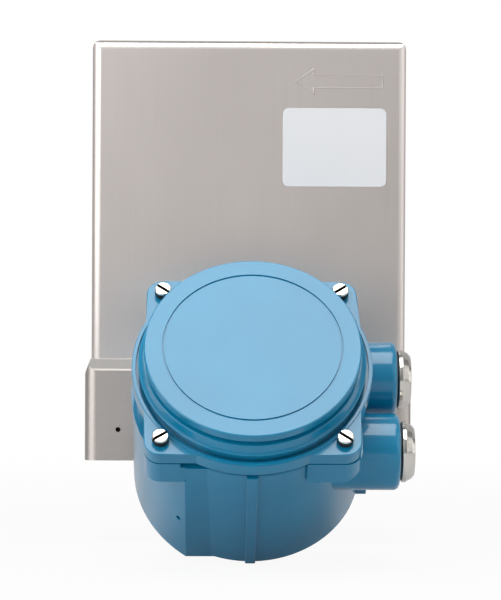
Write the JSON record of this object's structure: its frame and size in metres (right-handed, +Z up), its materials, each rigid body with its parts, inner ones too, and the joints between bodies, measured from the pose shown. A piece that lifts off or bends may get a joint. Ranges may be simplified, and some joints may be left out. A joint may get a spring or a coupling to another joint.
{
  "type": "coriolis flow meter",
  "caption": "Compact coriolis mass flow meter: steel sensor case over twin U-shaped flow tubes, threaded in-line ports, and a round blue enamelled head on a gooseneck in front.",
  "frame": {"origin": "centre of the inlet port's mouth, in the end face of the base shroud", "axes": "+X out of the inlet port along the pipe, +Z up along the case, -Y towards the head"},
  "size_m": [0.185, 0.2385, 0.2857],
  "materials": {
    "case_steel": "fine upright grain",
    "shroud_steel": "fine grain along the pipe",
    "plate_steel": "mill finish",
    "label_film": "bare white film",
    "cast_steel": "blasted casting with turned faces",
    "tube_steel": "drawn and polished",
    "coil_copper": "varnished copper winding",
    "magnet_steel": "nickel-plated magnet on a steel saddle",
    "sensor_ceramic": "ceramic element in a strap",
    "glass_header": "glass-to-metal header",
    "cable_sheath": "matt sheath",
    "gasket_rubber": "matt",
    "zinc_steel": "zinc-plated",
    "blue_enamel": "gloss blue enamel on die-cast aluminium",
    "potting": "dark moulded case, potted",
    "terminal_plastic": "moulded",
    "nickel": "bright nickel plate"
  },
  "bodies": {
    "sensor": {"sensor_case": "case_steel", "base_shroud": "shroud_steel", "bottom_plate": "plate_steel", "name_plate": "label_film", "inlet_manifold": "cast_steel", "outlet_manifold": "cast_steel", "manifold_spacer": "cast_steel", "left_brace_bar": "tube_steel", "right_brace_bar": "tube_steel", "feedthrough": "glass_header", "sensor_cable": "cable_sheath", "sensor_neck": "cast_steel", "neck_gasket": "gasket_rubber", "neck_bolts": "zinc_steel", "clamp_ring": "zinc_steel", "clamp_screw": "zinc_steel"},
    "front_tube": {"front_flow_tube": "tube_steel", "drive_coil": "coil_copper", "left_pickoff_coil": "coil_copper", "right_pickoff_coil": "coil_copper", "temperature_sensor": "sensor_ceramic"},
    "rear_tube": {"rear_flow_tube": "tube_steel", "drive_magnet": "magnet_steel", "left_pickoff_magnet": "magnet_steel", "right_pickoff_magnet": "magnet_steel"},
    "head": {"housing": "blue_enamel", "cover_seal": "gasket_rubber", "core_module": "potting", "module_screws": "zinc_steel", "terminal_block": "terminal_plastic", "ground_screw": "zinc_steel"},
    "cover": {"cover": "blue_enamel", "screw_washers": "gasket_rubber"},
    "front_left_screw": {"cover_screw_front_left": "nickel"},
    "front_right_screw": {"cover_screw_front_right": "nickel"},
    "rear_left_screw": {"cover_screw_rear_left": "nickel"},
    "rear_right_screw": {"cover_screw_rear_right": "nickel"},
    "upper_plug": {"upper_conduit_plug": "nickel", "upper_plug_gasket": "gasket_rubber"},
    "lower_plug": {"lower_conduit_plug": "nickel", "lower_plug_gasket": "gasket_rubber"}
  },
  "joints": [
    {"name": "head_turn", "type": "hinge", "parent": "sensor", "child": "head", "pos_m": [-0.0925, -0.084, -0.0294], "axis": [0, -0.788, 0.6157], "range_deg": [-180, 180]},
    {"name": "cover_lift", "type": "slide", "parent": "head", "child": "cover", "axis": [0, -0.788, 0.6157], "range_m": [0, 0.06]},
    {"name": "front_left_screw_turn", "type": "hinge", "parent": "cover", "child": "front_left_screw", "pos_m": [-0.1392, -0.1884, -0.0071], "axis": [0, -0.788, 0.6157], "continuous": true},
    {"name": "front_right_screw_turn", "type": "hinge", "parent": "cover", "child": "front_right_screw", "pos_m": [-0.0458, -0.1884, -0.0071], "axis": [0, -0.788, 0.6157], "continuous": true},
    {"name": "rear_left_screw_turn", "type": "hinge", "parent": "cover", "child": "rear_left_screw", "pos_m": [-0.1392, -0.1309, 0.0665], "axis": [0, -0.788, 0.6157], "continuous": true},
    {"name": "rear_right_screw_turn", "type": "hinge", "parent": "cover", "child": "rear_right_screw", "pos_m": [-0.0458, -0.1309, 0.0665], "axis": [0, -0.788, 0.6157], "continuous": true},
    {"name": "upper_plug_pull", "type": "slide", "parent": "head", "child": "upper_plug", "axis": [1, 0, 0], "range_m": [0, 0.03]},
    {"name": "lower_plug_pull", "type": "slide", "parent": "head", "child": "lower_plug", "axis": [1, 0, 0], "range_m": [0, 0.03]},
    {"name": "front_tube_swing", "type": "hinge", "parent": "sensor", "child": "front_tube", "pos_m": [-0.0925, -0.0125, 0.034], "axis": [1, 0, 0], "range_deg": [-0.15, 0.15], "stiffness_Nm_per_rad": 8},
    {"name": "rear_tube_swing", "type": "hinge", "parent": "sensor", "child": "rear_tube", "pos_m": [-0.0925, 0.0125, 0.034], "axis": [1, 0, 0], "range_deg": [-0.15, 0.15], "stiffness_Nm_per_rad": 8}
  ],
  "couplings": [
    {"joint": "rear_tube_swing", "follows": "front_tube_swing", "ratio": -1}
  ]
}
